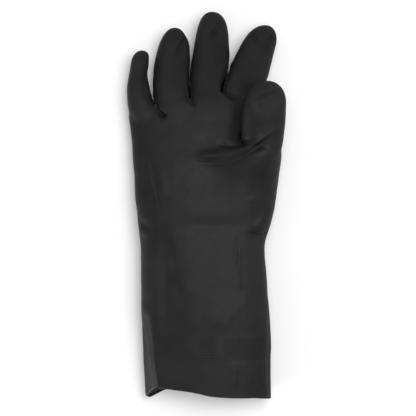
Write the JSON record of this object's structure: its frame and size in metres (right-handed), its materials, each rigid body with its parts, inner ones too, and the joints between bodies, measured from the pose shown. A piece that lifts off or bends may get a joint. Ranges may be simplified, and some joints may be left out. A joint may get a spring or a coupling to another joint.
{
  "type": "rubber insulating glove",
  "caption": "Long-cuffed black rubber electrician's glove, hollow and lined, whose wrist, fingers and thumb bend.",
  "frame": {"origin": "centre of the glove's outline, on the surface it lies on", "axes": "+Y from the cuff's mouth to the fingertips, +Z out of the palm, +X towards the thumb"},
  "size_m": [0.1476, 0.3604, 0.0595],
  "materials": {
    "rubber": "matte black dipped rubber",
    "bend_rubber": "matte black dipped rubber, flexing",
    "lining": "dark cotton flock"
  },
  "bodies": {
    "hand": {"palm_shell": "rubber", "palm_lining": "lining", "wrist_bend": "bend_rubber", "little_base_bend": "bend_rubber", "ring_base_bend": "bend_rubber", "middle_base_bend": "bend_rubber", "index_base_bend": "bend_rubber", "thumb_base_bend": "bend_rubber"},
    "cuff": {"cuff_shell": "rubber", "cuff_lining": "lining"},
    "little_base": {"little_base_shell": "rubber", "little_base_lining": "lining", "little_middle_bend": "bend_rubber"},
    "little_middle": {"little_middle_shell": "rubber", "little_middle_lining": "lining", "little_tip_bend": "bend_rubber"},
    "little_tip": {"little_tip_shell": "rubber", "little_tip_lining": "lining"},
    "ring_base": {"ring_base_shell": "rubber", "ring_base_lining": "lining", "ring_middle_bend": "bend_rubber"},
    "ring_middle": {"ring_middle_shell": "rubber", "ring_middle_lining": "lining", "ring_tip_bend": "bend_rubber"},
    "ring_tip": {"ring_tip_shell": "rubber", "ring_tip_lining": "lining"},
    "middle_base": {"middle_base_shell": "rubber", "middle_base_lining": "lining", "middle_middle_bend": "bend_rubber"},
    "middle_middle": {"middle_middle_shell": "rubber", "middle_middle_lining": "lining", "middle_tip_bend": "bend_rubber"},
    "middle_tip": {"middle_tip_shell": "rubber", "middle_tip_lining": "lining"},
    "index_base": {"index_base_shell": "rubber", "index_base_lining": "lining", "index_middle_bend": "bend_rubber"},
    "index_middle": {"index_middle_shell": "rubber", "index_middle_lining": "lining", "index_tip_bend": "bend_rubber"},
    "index_tip": {"index_tip_shell": "rubber", "index_tip_lining": "lining"},
    "thumb_base": {"thumb_base_shell": "rubber", "thumb_base_lining": "lining", "thumb_tip_bend": "bend_rubber"},
    "thumb_tip": {"thumb_tip_shell": "rubber", "thumb_tip_lining": "lining"}
  },
  "joints": [
    {"name": "wrist_flex", "type": "hinge", "parent": "hand", "child": "cuff", "pos_m": [-0.0025, -0.0215, 0.015], "axis": [-1, 0, 0], "range_deg": [0, 45], "stiffness_Nm_per_rad": 0.6, "deforming": ["wrist_bend"]},
    {"name": "little_base_flex", "type": "hinge", "parent": "hand", "child": "little_base", "pos_m": [-0.0614, 0.0968, 0.014], "axis": [0.9937, 0.1124, 0], "range_deg": [0, 40], "stiffness_Nm_per_rad": 0.3, "deforming": ["little_base_bend"]},
    {"name": "little_middle_flex", "type": "hinge", "parent": "little_base", "child": "little_middle", "pos_m": [-0.0633, 0.1136, 0.0155], "axis": [0.9991, 0.0431, 0], "range_deg": [0, 55], "stiffness_Nm_per_rad": 0.3, "deforming": ["little_middle_bend"]},
    {"name": "little_tip_flex", "type": "hinge", "parent": "little_middle", "child": "little_tip", "pos_m": [-0.0629, 0.1288, 0.0185], "axis": [0.9944, -0.106, 0], "range_deg": [0, 30], "stiffness_Nm_per_rad": 0.2, "deforming": ["little_tip_bend"]},
    {"name": "ring_base_flex", "type": "hinge", "parent": "hand", "child": "ring_base", "pos_m": [-0.0317, 0.1028, 0.0145], "axis": [0.9988, 0.049, 0], "range_deg": [0, 45], "stiffness_Nm_per_rad": 0.3, "deforming": ["ring_base_bend"]},
    {"name": "ring_middle_flex", "type": "hinge", "parent": "ring_base", "child": "ring_middle", "pos_m": [-0.033, 0.1293, 0.016], "axis": [0.9995, -0.0305, 0], "range_deg": [0, 70], "stiffness_Nm_per_rad": 0.3, "deforming": ["ring_middle_bend"]},
    {"name": "ring_tip_flex", "type": "hinge", "parent": "ring_middle", "child": "ring_tip", "pos_m": [-0.0309, 0.1483, 0.0185], "axis": [0.9947, -0.1026, 0], "range_deg": [0, 40], "stiffness_Nm_per_rad": 0.2, "deforming": ["ring_tip_bend"]},
    {"name": "middle_base_flex", "type": "hinge", "parent": "hand", "child": "middle_base", "pos_m": [0.0005, 0.1116, 0.0145], "axis": [0.9941, -0.1087, 0], "range_deg": [0, 45], "stiffness_Nm_per_rad": 0.3, "deforming": ["middle_base_bend"]},
    {"name": "middle_middle_flex", "type": "hinge", "parent": "middle_base", "child": "middle_middle", "pos_m": [0.0033, 0.1372, 0.016], "axis": [0.9954, -0.0955, 0], "range_deg": [0, 75], "stiffness_Nm_per_rad": 0.3, "deforming": ["middle_middle_bend"]},
    {"name": "middle_tip_flex", "type": "hinge", "parent": "middle_middle", "child": "middle_tip", "pos_m": [0.0051, 0.159, 0.0185], "axis": [0.9981, -0.0622, 0], "range_deg": [0, 45], "stiffness_Nm_per_rad": 0.2, "deforming": ["middle_tip_bend"]},
    {"name": "index_base_flex", "type": "hinge", "parent": "hand", "child": "index_base", "pos_m": [0.033, 0.1078, 0.0145], "axis": [0.9407, -0.3393, 0], "range_deg": [0, 30], "stiffness_Nm_per_rad": 0.3, "deforming": ["index_base_bend"]},
    {"name": "index_middle_flex", "type": "hinge", "parent": "index_base", "child": "index_middle", "pos_m": [0.0409, 0.1297, 0.016], "axis": [0.9398, -0.3417, 0], "range_deg": [0, 70], "stiffness_Nm_per_rad": 0.3, "deforming": ["index_middle_bend"]},
    {"name": "index_tip_flex", "type": "hinge", "parent": "index_middle", "child": "index_tip", "pos_m": [0.0479, 0.1488, 0.0185], "axis": [0.94, -0.341, 0], "range_deg": [0, 45], "stiffness_Nm_per_rad": 0.2, "deforming": ["index_tip_bend"]},
    {"name": "thumb_swing", "type": "hinge", "parent": "hand", "child": "thumb_base", "pos_m": [0.053, 0.0645, 0.0375], "axis": [0.0207, 0.3041, -0.9524], "range_deg": [0, 35], "stiffness_Nm_per_rad": 0.4, "deforming": ["thumb_base_bend"]},
    {"name": "thumb_tip_flex", "type": "hinge", "parent": "thumb_base", "child": "thumb_tip", "pos_m": [0.0548, 0.091, 0.046], "axis": [0.9984, -0.056, 0], "range_deg": [0, 50], "stiffness_Nm_per_rad": 0.3, "deforming": ["thumb_tip_bend"]}
  ]
}
